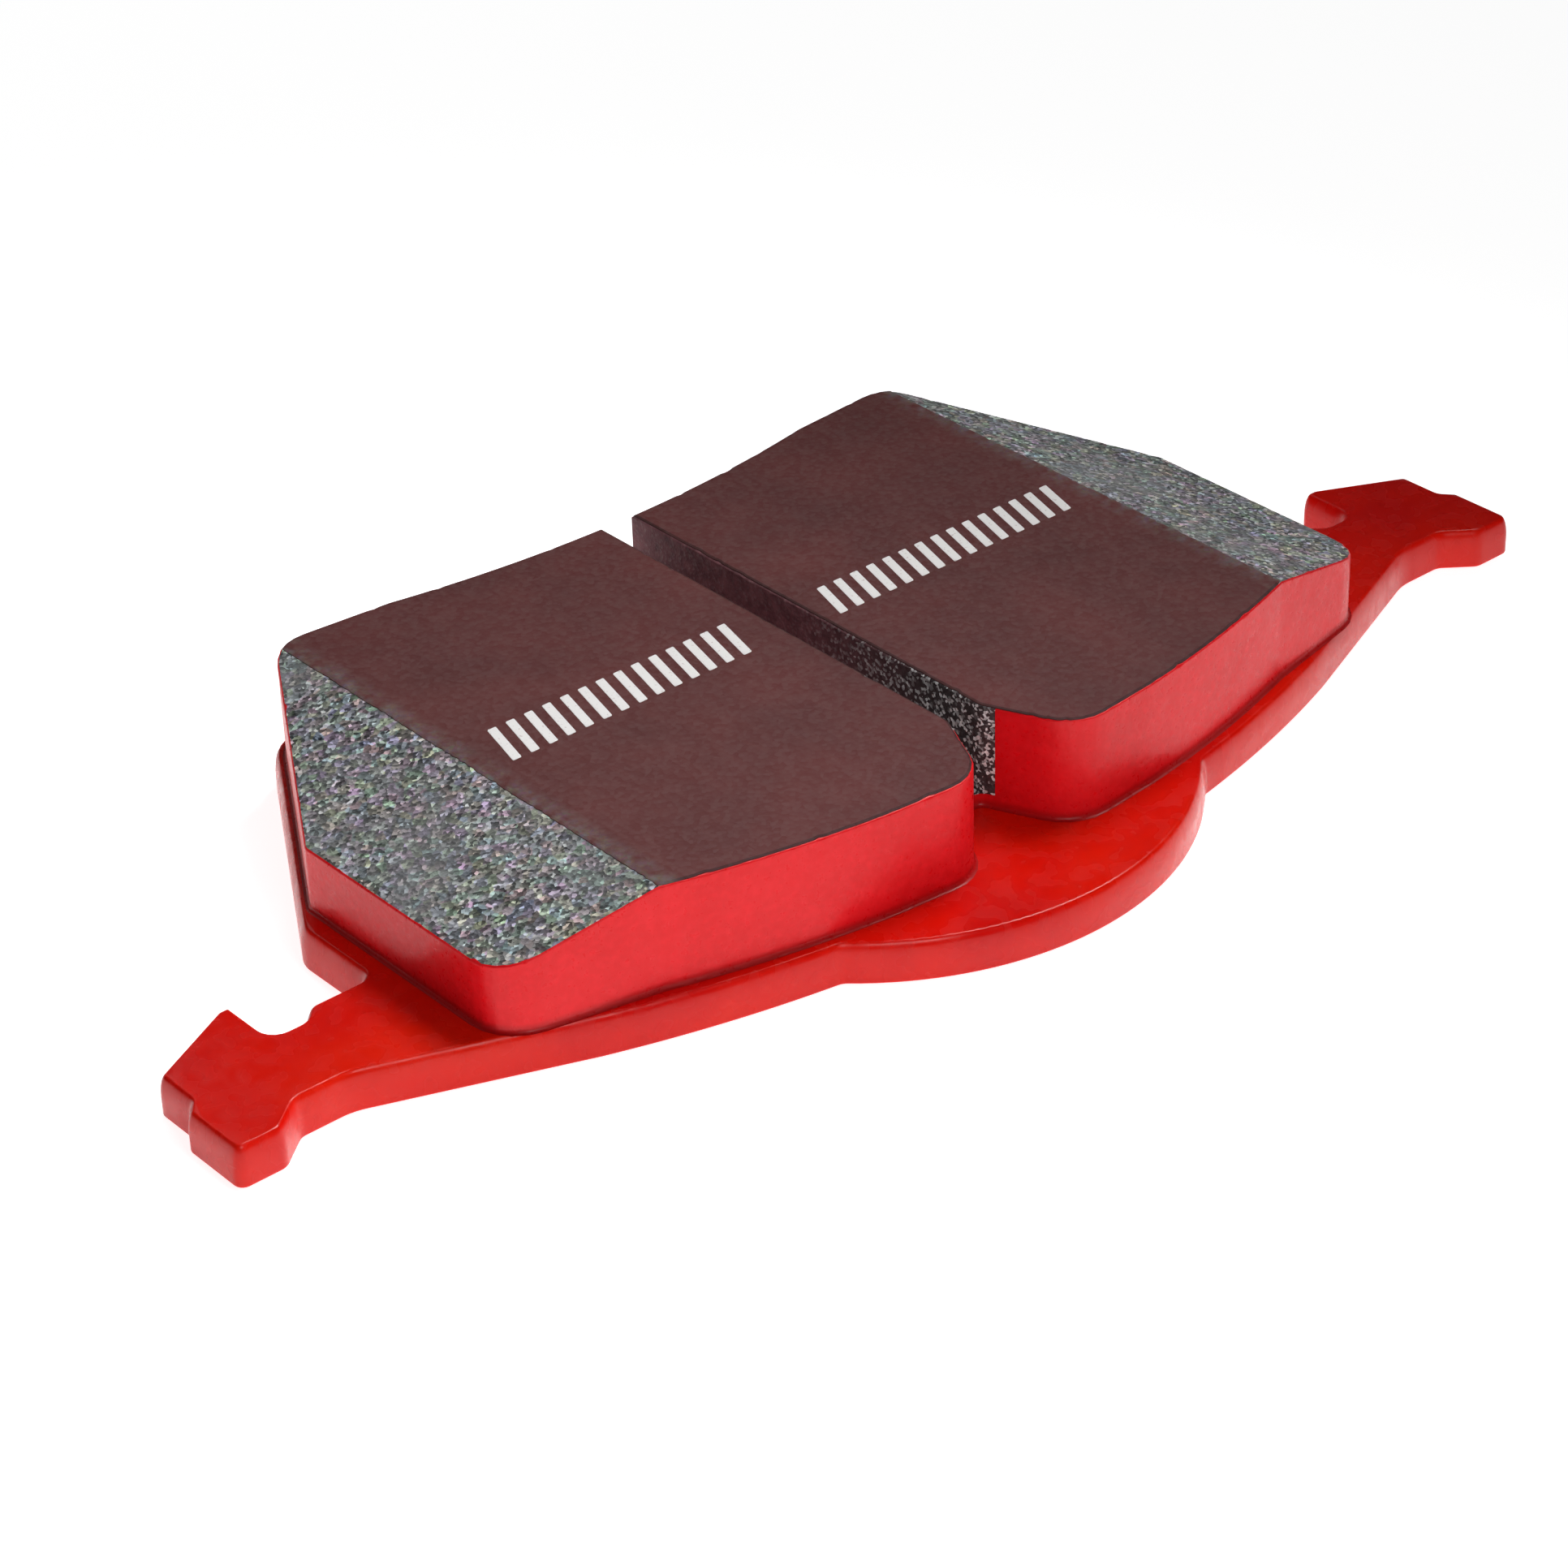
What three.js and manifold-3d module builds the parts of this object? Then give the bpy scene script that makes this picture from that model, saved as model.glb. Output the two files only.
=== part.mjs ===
// A disc brake pad for a sliding caliper, in millimetres, lying on its noise shim with the friction face up.
//
// +X runs along the pad from ear to ear, +Z is the way the pad presses on the disc, and the disc's axis is on
// the +Y side. The pad is a bonded stack, from the floor up: noise shim (three layers), backing plate,
// underlayer, two friction blocks, and a break-in coat on each block.
// The origin is at the middle of the footprint, on the floor.

import * as THREE from 'three';
import { mergeVertices } from 'three/addons/utils/BufferGeometryUtils.js';
import Module from 'manifold-3d';

const wasm = await Module();
wasm.setup();

// ---- Friction blocks, seen from above. `y` is measured from the outer edge at the middle of the pad. ----
const FRICTION_LENGTH = 107.8;
const FRICTION_DEPTH = 59.3;
const OUTER_RADIUS = 128;
const INNER_RADIUS = 130;
const LAND_LENGTH = 77.2;
const INNER_ARC_END_X = 26; // from here the inner edge runs straight to its corner
const INNER_CORNER_RISE = 3.7; // of that corner beyond the inner edge's apex
const END_CUT_Y = 37.3; // where the slanted inner cut meets the straight end
const END_SHOULDER_Y = 9.2; // outer corner of the straight end
const END_CORNER_RADIUS = 5;
const INNER_CORNER_RADIUS = 5;
const SOFT_CORNER_RADIUS = 1.2;

// ---- Slot between the blocks, and the V-shaped bite at its outer end. ----
const SLOT_WIDTH = 3.8;
const SLOT_LIP_RADIUS = 1.6; // where the slot opens into the bite
const BITE_WIDTH = 12;
const BITE_DEPTH = 9.1;
const BITE_LIP_RADIUS = 5;

// ---- Thicknesses, from the floor up. ----
const SHIM_COVER_THICKNESS = 0.2;
const SHIM_CORE_THICKNESS = 0.5;
const SHIM_ADHESIVE_THICKNESS = 0.1;
const PLATE_THICKNESS = 4.2;
const UNDERLAYER_THICKNESS = 1.3;
const FRICTION_THICKNESS = 9.3;
const COAT_THICKNESS = 0.2;
const RAMP_DROP = 4; // how far each ramp falls from the land to the end of the block

// ---- Backing plate around the friction blocks. ----
const PLATE_MARGIN_OUTER = 1.6;
const PLATE_MARGIN_END = 2.5;
const PLATE_MARGIN_INNER = 1.2;
const PLATE_OUTER_RADIUS = 134;
const PLATE_CORNER_RADIUS = 3.5;
const LOBE_OVERHANG = 9; // beyond the outer edge of the blocks
const LOBE_RADIUS = 32.6;
const LOBE_ROOT_RADIUS = 1.5;

// ---- Arms and hammerhead ears. Along X from the end of the plate, across Y as above. ----
const ARM_INNER_Y = 25.4;
const ARM_STRAIGHT = 6.4; // straight inner edge of the arm, before the neck
const ARM_SLOPE_INSET = 10.9; // how far inside the plate's end the outer edge turns straight
const NECK_LENGTH = 4.9;
const NECK_INNER_Y = 23.8;
const NECK_OUTER_Y = 14.6;
const NECK_STEP = 1.6; // length of the slope from the arm down into the neck
const EAR_LENGTH = 11.9;
const EAR_INNER_Y = 30.2;
const EAR_OUTER_Y = 12;
const EAR_SHOULDER_Y = 25.6; // inner corner of the ear's end
const EAR_STEP_Y = 20.1; // middle of the step in the ear's end
const EAR_STEP_DEPTH = 1.2;
const EAR_STEP_RUN = 1.4;
const EAR_PRONG_SETBACK = 3.8; // the outer prong starts this far out from the inner one
const EAR_PRONG_RUN = 3.3; // length of the slope from the neck out to the outer prong
const EAR_TIP_WIDTH = 1.5; // flat tip of the inner prong
const EAR_CORNER_RADIUS = 1;
const NECK_CORNER_RADIUS = 1.6;
const ARM_HOLLOW_RADIUS = 6.4; // where the arm's outer edge runs into the neck

// ---- Keying holes through the plate, and pips that hold the shim in place. ----
const KEY_HOLE_DIAMETER = 11;
const KEY_HOLE_X = [16, 40];
const KEY_HOLE_Y = 31;
const KEY_CLEARANCE = 0.3;
const KEY_RECESS = 0.5; // the key stops this short of the plate's back
const PIP_X = 28;
const PIP_Y = 31;
const PIP_DIAMETER = 5;
const PIP_HEIGHT = 0.55;
const PIP_SINK = 1; // how deep the pip's disc reaches into the plate
const SHIM_HOLE_CLEARANCE = 0.6;
const SHIM_INSET = 2.2; // from the edge of the blocks
const SHIM_LAYER_INSET = 0.4; // the adhesive stops this short of the steel

// ---- Fineness of curves. ----
const ARC_STEPS = 14;
const LOBE_STEPS = 20;
const CORNER_STEPS = 5;
const ROUND_STEPS = 32;
const CORNER_SHARE = 0.45; // the most of an edge that a rounded corner may take up

// ---- Levels. ----
const coverTop = SHIM_COVER_THICKNESS;
const coreTop = coverTop + SHIM_CORE_THICKNESS;
const plateBottom = coreTop + SHIM_ADHESIVE_THICKNESS;
const plateTop = plateBottom + PLATE_THICKNESS;
const underlayerTop = plateTop + UNDERLAYER_THICKNESS;
const frictionTop = underlayerTop + FRICTION_THICKNESS;
const padTop = frictionTop + COAT_THICKNESS;

// ---- Places along X that several pieces share. ----
const frictionEndX = FRICTION_LENGTH / 2;
const landEndX = LAND_LENGTH / 2;
const slotEdgeX = SLOT_WIDTH / 2;
const plateEndX = frictionEndX + PLATE_MARGIN_END;
const cutterReach = 2 * FRICTION_DEPTH; // across the pad, well past both edges of the blocks

/** How far a circular edge of the given radius has turned away from its apex at x. */
function sagitta(x, radius) {
  return radius - Math.sqrt(radius * radius - x * x);
}

/** Points on the bowed edge y = apexY + sagitta(x), from x = fromX to x = toX, both ends included. */
function bow(apexY, radius, fromX, toX, steps) {
  const points = [];
  for (let i = 0; i <= steps; i += 1) {
    const x = fromX + ((toX - fromX) * i) / steps;
    points.push({ x, y: apexY + sagitta(x, radius) });
  }
  return points;
}

/** The same points with their last one rounded off, for a curve that ends in a corner. */
function endingInCorner(points, radius) {
  const corner = { ...points.at(-1), radius };
  return [...points.slice(0, -1), corner];
}

/** A corner moved inwards by `inset` from both its edges, on an outline that runs anticlockwise. */
function insetCorner(last, here, next, inset) {
  const before = new THREE.Vector2(here.x - last.x, here.y - last.y).normalize();
  const after = new THREE.Vector2(next.x - here.x, next.y - here.y).normalize();
  const inward = new THREE.Vector2(-before.y - after.y, before.x + after.x).normalize();
  const reach = inset / Math.sqrt((1 + before.dot(after)) / 2);
  return { ...here, x: here.x + inward.x * reach, y: here.y + inward.y * reach };
}

/** Every edge of a closed outline moved inwards by `inset`. */
function shrunk(corners, inset) {
  return corners.map((here, i) => {
    return insetCorner(corners.at(i - 1), here, corners[(i + 1) % corners.length], inset);
  });
}

/** Replaces each corner that names a radius with a tangent arc, and returns plain points. */
function roundCorners(corners) {
  const points = [];
  corners.forEach((corner, i) => {
    const here = new THREE.Vector2(corner.x, corner.y);
    if (!corner.radius) {
      points.push(here);
      return;
    }
    const last = corners.at(i - 1);
    const next = corners[(i + 1) % corners.length];
    const toLast = new THREE.Vector2(last.x, last.y).sub(here);
    const toNext = new THREE.Vector2(next.x, next.y).sub(here);
    const halfAngle = Math.acos(toLast.clone().normalize().dot(toNext.clone().normalize())) / 2;
    const room = CORNER_SHARE * Math.min(toLast.length(), toNext.length());
    const setback = Math.min(corner.radius / Math.tan(halfAngle), room);
    const from = here.clone().addScaledVector(toLast.normalize(), setback);
    const to = here.clone().addScaledVector(toNext.normalize(), setback);
    const bisector = toLast.add(toNext).normalize();
    const centre = here.clone().addScaledVector(bisector, setback / Math.cos(halfAngle));
    const radius = centre.distanceTo(from);
    const startAngle = Math.atan2(from.y - centre.y, from.x - centre.x);
    const endAngle = Math.atan2(to.y - centre.y, to.x - centre.x);
    const turn = THREE.MathUtils.euclideanModulo(endAngle - startAngle + Math.PI, 2 * Math.PI) - Math.PI;
    for (let step = 0; step <= CORNER_STEPS; step += 1) {
      const angle = startAngle + (turn * step) / CORNER_STEPS;
      const spoke = new THREE.Vector2(Math.cos(angle), Math.sin(angle));
      points.push(spoke.multiplyScalar(radius).add(centre));
    }
  });
  return points;
}

/** Mirrors the corners of a right-hand half outline across x = 0 and joins the two halves. */
function mirrored(half) {
  const other = half.filter((corner) => corner.x > 0).map((corner) => ({ ...corner, x: -corner.x }));
  return [...half, ...other.reverse()];
}

// ---- Outline of the blocks. ----

const cutEnd = { x: frictionEndX, y: END_CUT_Y, radius: SOFT_CORNER_RADIUS };
const innerCorner = { x: landEndX, y: FRICTION_DEPTH + INNER_CORNER_RISE, radius: INNER_CORNER_RADIUS };

/** The inner edge's arc, from its end down to x, with the edge moved outwards by `margin`. */
function innerArc(margin, toX) {
  return bow(FRICTION_DEPTH + margin, INNER_RADIUS - margin, INNER_ARC_END_X, toX, ARC_STEPS);
}

/** Corners from the outer shoulder of the land round the end of the block to the inner corner. */
function blockEndCorners() {
  return [
    { x: landEndX, y: sagitta(landEndX, OUTER_RADIUS) },
    { x: frictionEndX, y: END_SHOULDER_Y, radius: END_CORNER_RADIUS },
    cutEnd,
    innerCorner,
  ];
}

/** Right-hand block: the slot edge, the bite, the outer arc, the end and the inner arc. */
function blockCorners() {
  const biteEdgeX = BITE_WIDTH / 2;
  const outerArc = bow(0, OUTER_RADIUS, biteEdgeX + 2 * BITE_LIP_RADIUS, landEndX, ARC_STEPS);
  return [
    { x: slotEdgeX, y: BITE_DEPTH, radius: SLOT_LIP_RADIUS },
    { x: biteEdgeX, y: sagitta(biteEdgeX, OUTER_RADIUS), radius: BITE_LIP_RADIUS },
    ...outerArc.slice(0, -1),
    ...blockEndCorners(),
    ...innerArc(0, slotEdgeX),
  ];
}

/** Right half of the underlayer: the blocks' outline without the slot. */
function underlayerCorners() {
  return [{ x: 0, y: BITE_DEPTH }, ...blockCorners(), { x: 0, y: FRICTION_DEPTH }];
}

// ---- Outline of the plate. ----

const plateOuterApexY = -PLATE_MARGIN_OUTER;
const lobeApexY = -LOBE_OVERHANG;

/** Half the width of the lobe where its circle crosses the plate's outer edge, found by halving. */
function lobeHalfWidth() {
  let inside = 0;
  let outside = LOBE_RADIUS;
  const halvings = 40;
  for (let i = 0; i < halvings; i += 1) {
    const x = (inside + outside) / 2;
    const lobeY = lobeApexY + sagitta(x, LOBE_RADIUS);
    const plateY = plateOuterApexY + sagitta(x, PLATE_OUTER_RADIUS);
    if (lobeY < plateY) {
      inside = x;
    } else {
      outside = x;
    }
  }
  return inside;
}

/** The right-hand arm and ear, from the arm's outer edge round to the inner corner at the plate's end. */
function earCorners() {
  const neckStartX = plateEndX + ARM_STRAIGHT;
  const earX = neckStartX + NECK_LENGTH;
  const earEndX = earX + EAR_LENGTH;
  const stepX = earEndX - EAR_STEP_DEPTH;
  const prongX = earX + EAR_PRONG_SETBACK;
  const neckRadius = NECK_CORNER_RADIUS;
  const earRadius = EAR_CORNER_RADIUS;
  return [
    { x: earX - NECK_STEP, y: NECK_OUTER_Y, radius: ARM_HOLLOW_RADIUS },
    { x: prongX, y: NECK_OUTER_Y, radius: neckRadius },
    { x: prongX + EAR_PRONG_RUN, y: EAR_OUTER_Y, radius: neckRadius },
    { x: earEndX, y: EAR_OUTER_Y, radius: earRadius },
    { x: earEndX, y: EAR_STEP_Y - EAR_STEP_RUN / 2, radius: earRadius },
    { x: stepX, y: EAR_STEP_Y + EAR_STEP_RUN / 2, radius: earRadius },
    { x: stepX, y: EAR_SHOULDER_Y, radius: earRadius },
    { x: earX + EAR_TIP_WIDTH, y: EAR_INNER_Y, radius: earRadius },
    { x: earX, y: EAR_INNER_Y, radius: EAR_TIP_WIDTH / 2 },
    { x: earX, y: NECK_INNER_Y, radius: neckRadius },
    { x: neckStartX + NECK_STEP, y: NECK_INNER_Y, radius: neckRadius },
    { x: neckStartX, y: ARM_INNER_Y, radius: neckRadius },
    { x: plateEndX, y: ARM_INNER_Y, radius: SOFT_CORNER_RADIUS },
  ];
}

/** Right half of the plate: lobe, outer arc, arm and ear, end, slanted cut and inner arc. */
function plateCorners() {
  const lobeX = lobeHalfWidth();
  const slopeX = plateEndX - ARM_SLOPE_INSET;
  const lobe = bow(lobeApexY, LOBE_RADIUS, 0, lobeX, LOBE_STEPS);
  const outerArc = bow(plateOuterApexY, PLATE_OUTER_RADIUS, lobeX, slopeX, ARC_STEPS);
  const innerEdge = innerArc(PLATE_MARGIN_INNER, 0);
  const blockEdge = innerArc(0, 0);
  const corner = insetCorner(cutEnd, innerCorner, blockEdge[0], -PLATE_MARGIN_INNER);
  const cutSlope = (innerCorner.y - cutEnd.y) / (innerCorner.x - cutEnd.x);
  return [
    ...endingInCorner(lobe, LOBE_ROOT_RADIUS),
    ...outerArc.slice(1),
    ...earCorners(),
    { x: plateEndX, y: corner.y + cutSlope * (plateEndX - corner.x), radius: PLATE_CORNER_RADIUS },
    corner,
    ...innerEdge,
  ];
}

/** Outline of the shim: the blocks' outline without slot and bite, drawn in from their edge. */
function shimPoints(inset) {
  const outerArc = bow(0, OUTER_RADIUS, 0, landEndX, ARC_STEPS);
  const half = [...outerArc.slice(0, -1), ...blockEndCorners(), ...innerArc(0, 0)];
  return roundCorners(shrunk(mirrored(half), inset));
}

// ---- Solids. ----

const platePoints = roundCorners(mirrored(plateCorners()));
const plateMinY = Math.min(...platePoints.map((point) => point.y));
const plateMaxY = Math.max(...platePoints.map((point) => point.y));
const middleY = (plateMinY + plateMaxY) / 2;

/** A closed three.js geometry as a solid. */
function solidOf(geometry) {
  const bare = geometry.clone();
  bare.deleteAttribute('normal');
  bare.deleteAttribute('uv');
  const merged = mergeVertices(bare);
  const vertProperties = new Float32Array(merged.attributes.position.array);
  const triVerts = new Uint32Array(merged.index.array);
  return new wasm.Manifold(new wasm.Mesh({ numProp: 3, vertProperties, triVerts }));
}

/** A solid as a three.js geometry with flat faces. */
function geometryOf(solid) {
  const mesh = solid.getMesh();
  const geometry = new THREE.BufferGeometry();
  geometry.setAttribute('position', new THREE.BufferAttribute(mesh.vertProperties, mesh.numProp));
  geometry.setIndex(new THREE.BufferAttribute(mesh.triVerts, 1));
  const flat = geometry.toNonIndexed();
  flat.computeVertexNormals();
  return flat;
}

/** A flat slab with the given outline and round holes, from one level to another. */
function slab(points, bottom, top, holes = []) {
  const shape = new THREE.Shape(points);
  holes.forEach(({ x, y, diameter }) => {
    shape.holes.push(new THREE.Path().absarc(x, y, diameter / 2, 0, 2 * Math.PI));
  });
  const options = { depth: top - bottom, bevelEnabled: false, curveSegments: ROUND_STEPS / 2 };
  return new THREE.ExtrudeGeometry(shape, options).translate(0, 0, bottom);
}

/** A round disc standing on a level. */
function disc({ x, y, diameter }, bottom, top) {
  const geometry = new THREE.CylinderGeometry(diameter / 2, diameter / 2, top - bottom, ROUND_STEPS);
  return geometry.rotateX(Math.PI / 2).translate(x, y, (bottom + top) / 2);
}

/** Circles of one diameter at every x in the list and at its mirror image. */
function circlePairs(xs, y, diameter) {
  return xs.flatMap((x) => [-x, x].map((signedX) => ({ x: signedX, y, diameter })));
}

/** Adds round discs to a slab and returns one geometry. */
function withDiscs(geometry, circles, bottom, top) {
  const discs = circles.map((circle) => solidOf(disc(circle, bottom, top)));
  return geometryOf(discs.reduce((sum, next) => sum.add(next), solidOf(geometry)));
}

function backingPlate() {
  const keyHoles = circlePairs(KEY_HOLE_X, KEY_HOLE_Y, KEY_HOLE_DIAMETER);
  const pips = circlePairs([PIP_X], PIP_Y, PIP_DIAMETER);
  const plate = slab(platePoints, plateBottom, plateTop, keyHoles);
  return withDiscs(plate, pips, plateBottom - PIP_HEIGHT, plateBottom + PIP_SINK);
}

function underlayer() {
  const outline = roundCorners(mirrored(underlayerCorners()));
  const keys = circlePairs(KEY_HOLE_X, KEY_HOLE_Y, KEY_HOLE_DIAMETER - 2 * KEY_CLEARANCE);
  const sheetMiddle = (plateTop + underlayerTop) / 2;
  return withDiscs(slab(outline, plateTop, underlayerTop), keys, plateBottom + KEY_RECESS, sheetMiddle);
}

/** Side view of a right-hand block: full height over the land, falling along the ramp to the end. */
function rampProfile() {
  const profile = new THREE.Shape();
  profile.moveTo(0, underlayerTop);
  profile.lineTo(frictionEndX, underlayerTop);
  profile.lineTo(frictionEndX, frictionTop - RAMP_DROP);
  profile.lineTo(landEndX, frictionTop);
  profile.lineTo(0, frictionTop);
  return profile;
}

/** A friction block on the given side: its outline stood up, and cut to its side view. */
function frictionBlock(side) {
  const outline = slab(roundCorners(blockCorners()), underlayerTop, frictionTop);
  const options = { depth: 2 * cutterReach, bevelEnabled: false };
  const profile = new THREE.ExtrudeGeometry(rampProfile(), options);
  profile.rotateX(Math.PI / 2).translate(0, cutterReach, 0);
  const block = solidOf(outline).intersect(solidOf(profile));
  return geometryOf(side < 0 ? block.mirror([1, 0, 0]) : block);
}

/** The coat on the flat land of the block on the given side. */
function breakInCoat(side) {
  const coat = solidOf(slab(roundCorners(blockCorners()), frictionTop, padTop));
  const land = new THREE.BoxGeometry(landEndX, 2 * cutterReach, FRICTION_THICKNESS);
  land.translate(landEndX / 2, 0, padTop);
  const trimmed = coat.intersect(solidOf(land));
  return geometryOf(side < 0 ? trimmed.mirror([1, 0, 0]) : trimmed);
}

function shimLayer(inset, bottom, top) {
  const holes = circlePairs([PIP_X], PIP_Y, PIP_DIAMETER + 2 * SHIM_HOLE_CLEARANCE);
  return slab(shimPoints(inset), bottom, top, holes);
}

// ---- The part. ----

const pad = new THREE.Group();
pad.position.y = -middleY;

function addPiece(name, geometry, color, roughness, metalness) {
  const mesh = new THREE.Mesh(geometry, new THREE.MeshStandardMaterial({ color, roughness, metalness }));
  mesh.name = name;
  pad.add(mesh);
}

addPiece('backing_plate', backingPlate(), 0xd81f14, 0.3, 0);
addPiece('underlayer', underlayer(), 0x5a2a26, 0.8, 0);
addPiece('friction_block_left', frictionBlock(-1), 0x6f7473, 0.85, 0);
addPiece('friction_block_right', frictionBlock(1), 0x6f7473, 0.85, 0);
addPiece('break_in_coat_left', breakInCoat(-1), 0x5f3437, 0.75, 0);
addPiece('break_in_coat_right', breakInCoat(1), 0x5f3437, 0.75, 0);
addPiece('shim_adhesive', shimLayer(SHIM_INSET + SHIM_LAYER_INSET, coreTop, plateBottom), 0x8c8470, 0.7, 0);
addPiece('shim_core', shimLayer(SHIM_INSET, coverTop, coreTop), 0x9a9da0, 0.35, 1);
addPiece('shim_cover', shimLayer(SHIM_INSET, 0, coverTop), 0x26282a, 0.7, 0);

export default pad;
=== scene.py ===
"""The looks of a disc brake pad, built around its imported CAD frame, in metres.

Every piece but the printed bars is a closed mesh, drawn from the outlines of its CAD node. Rings of
points follow an outline at several levels, skirts of faces join the rings, and flat or ground faces
close them off.
"""

import math

import bmesh
import bpy
from mathutils import Matrix, Vector, noise
from mathutils.geometry import delaunay_2d_cdt


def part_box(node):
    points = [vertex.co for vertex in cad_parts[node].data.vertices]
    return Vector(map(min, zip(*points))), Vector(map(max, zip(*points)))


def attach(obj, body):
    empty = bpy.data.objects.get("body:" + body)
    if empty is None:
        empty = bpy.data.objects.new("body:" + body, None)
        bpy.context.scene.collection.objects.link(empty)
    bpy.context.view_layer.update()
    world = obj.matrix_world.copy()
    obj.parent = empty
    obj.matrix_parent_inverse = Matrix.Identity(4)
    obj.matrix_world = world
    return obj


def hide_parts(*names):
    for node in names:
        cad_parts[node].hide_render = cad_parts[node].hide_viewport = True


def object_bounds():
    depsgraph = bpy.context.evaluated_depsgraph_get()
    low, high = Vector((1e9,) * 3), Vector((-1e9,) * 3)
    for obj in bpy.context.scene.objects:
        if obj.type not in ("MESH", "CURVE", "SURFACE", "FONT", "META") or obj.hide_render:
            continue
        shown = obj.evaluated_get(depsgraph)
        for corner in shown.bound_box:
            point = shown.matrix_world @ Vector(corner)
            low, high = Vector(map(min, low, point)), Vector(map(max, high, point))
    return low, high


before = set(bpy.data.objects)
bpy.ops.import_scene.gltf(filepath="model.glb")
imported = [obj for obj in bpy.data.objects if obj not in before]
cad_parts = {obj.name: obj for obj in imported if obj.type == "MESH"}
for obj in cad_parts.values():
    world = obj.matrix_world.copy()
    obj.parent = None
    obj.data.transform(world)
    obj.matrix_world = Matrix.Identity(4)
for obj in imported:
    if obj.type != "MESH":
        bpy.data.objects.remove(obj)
cad_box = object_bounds()

MM = 0.001
WELD = 0.002 * MM  # points of the CAD closer than this are one point
FINE_WELD = WELD / 10  # and points of a new mesh
UP = Vector((0, 0, 1))
SMOOTH_ANGLE = math.radians(40)  # faces that meet at less than this are shaded as one surface

# ---- Camera: where it looks, and from where. ----
CAMERA_TARGET = Vector((-4.643, 1.863, 0.8)) * MM
CAMERA_AZIMUTH = math.radians(-40.03)
CAMERA_ELEVATION = math.radians(31.993)
CAMERA_ROLL = math.radians(-1.766)
CAMERA_DISTANCE = 410.868 * MM
CAMERA_LENS = 98.954
CAMERA_SENSOR = 36

# ---- Small shapes that the CAD leaves out. ----
PLATE_ROLL = 0.7 * MM  # width of the rolled edge on the side the punch came from
PLATE_ROLL_DROP = 2.3 * MM  # and how far down the edge it reaches
PLATE_BOTTOM_ROUND = 0.3 * MM
HOLE_ROUND = 0.3 * MM
PIP_ROUND = 0.15 * MM
KEY_ROUND = 0.3 * MM
BASE_FILLET = 0.4 * MM  # paint gathered where the blocks stand on the plate
RIM_WIDTH = 0.16 * MM
RIM_CHIP = 0.5 * MM  # how strongly chips widen the rim
CHIP_START = 0.25  # the noise, up to 1, above which the rim is chipped
CHIP_SIZE = 1.1 * MM
RIM_KNEE = 0.35  # share of the rim's width at which it turns from steep to shallow
RIM_KNEE_DROP = 0.0728 * MM  # and how far below the ground top that is
GROUND_PIT = 0.05 * MM  # depth of the deepest pits in the ground faces
COAT_EDGE = 0.22 * MM
COAT_EDGE_DROP = 0.1 * MM
COAT_RAGGED = 0.3 * MM  # how far the coat's end may lie short of the ramp
COAT_FADE = 2.4 * MM  # over this length beside each ramp the coat wears thin
CREASE_SHADE_HEIGHT = 0.9 * MM  # how far up the blocks' foot the painted shade of the crease reaches
SHIM_ROUND = 0.025 * MM
INK_THICKNESS = 0.03 * MM
INK_SLOPE = 0.015 * MM  # how far the ink's edges slope in

# ---- Spacing of the points. ----
OUTLINE_SPACING = 0.6 * MM
GROUND_SPACING = 0.9 * MM
GROUND_MARGIN = 0.54 * MM  # clear band between the rim and the first points inside it
CREASE_SPACING = 0.3 * MM
ROUND_STEPS = 6
QUARTER_TURN = [math.pi / 2 * step / ROUND_STEPS for step in range(ROUND_STEPS + 1)]

# ---- Plain printed bars, one row on each block, between margins to the slot and to the ramp. ----
BAR_WIDTH = 1.0 * MM
BAR_PITCH = 2.1 * MM
BAR_LEAN = 1.5 * MM  # how far along the row a bar's top leans
BAR_CORNER = 0.2 * MM
BAR_ROWS = {
    "left": {"to_slot": 2.3 * MM, "to_ramp": 3.4 * MM, "low": 3.2 * MM, "high": 9.0 * MM},
    "right": {"to_slot": 1.9 * MM, "to_ramp": 2.0 * MM, "low": 2.8 * MM, "high": 8.0 * MM},
}

# ---- Room. ----
FLOOR_SIZE = 6
FLOOR_GAP = 0.02 * MM  # keeps the floor from touching the shim
FLOOR_GLOW = 0.88  # makes the floor as pale as a lit studio table
HORIZON_LIGHT = 0.8
OVERHEAD_LIGHT = 0.03
OVERHEAD_FROM = 0.12  # from this height up, with 0 at the horizon and 1 overhead, the room is dim


# ---- Levels and places, read from the frame. ----

plate_low, plate_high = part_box("backing_plate")
underlayer_low, underlayer_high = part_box("underlayer")
block_low, block_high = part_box("friction_block_right")
coat_low, coat_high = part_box("break_in_coat_right")
adhesive_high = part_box("shim_adhesive")[1]

plate_top = plate_high.z
plate_bottom = adhesive_high.z
land_end = coat_high.x
block_end = block_high.x
slot_edge = block_low.x
ink_top = coat_high.z
coat_top = ink_top - INK_THICKNESS


def height_of_ramp_foot():
    """Height of the blocks at their far ends, where the ramps finish."""
    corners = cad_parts["friction_block_right"].data.vertices
    return max(corner.co.z for corner in corners if corner.co.x > block_end - WELD)


ramp_slope = (block_high.z - height_of_ramp_foot()) / (block_end - land_end)


def ground_height(point):
    """Height of the blocks' ground top at a point: flat over the land, falling along the ramps."""
    return block_high.z - ramp_slope * max(0, abs(point.x) - land_end)


# ---- Outlines. ----


def signed_area(points):
    """Area inside a closed line of points, positive where it runs anticlockwise."""
    pairs = zip(points, points[1:] + points[:1])
    return sum(here.cross(following) for here, following in pairs) / 2


def anticlockwise(points):
    """The same outline, running anticlockwise."""
    return points if signed_area(points) > 0 else points[::-1]


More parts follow.
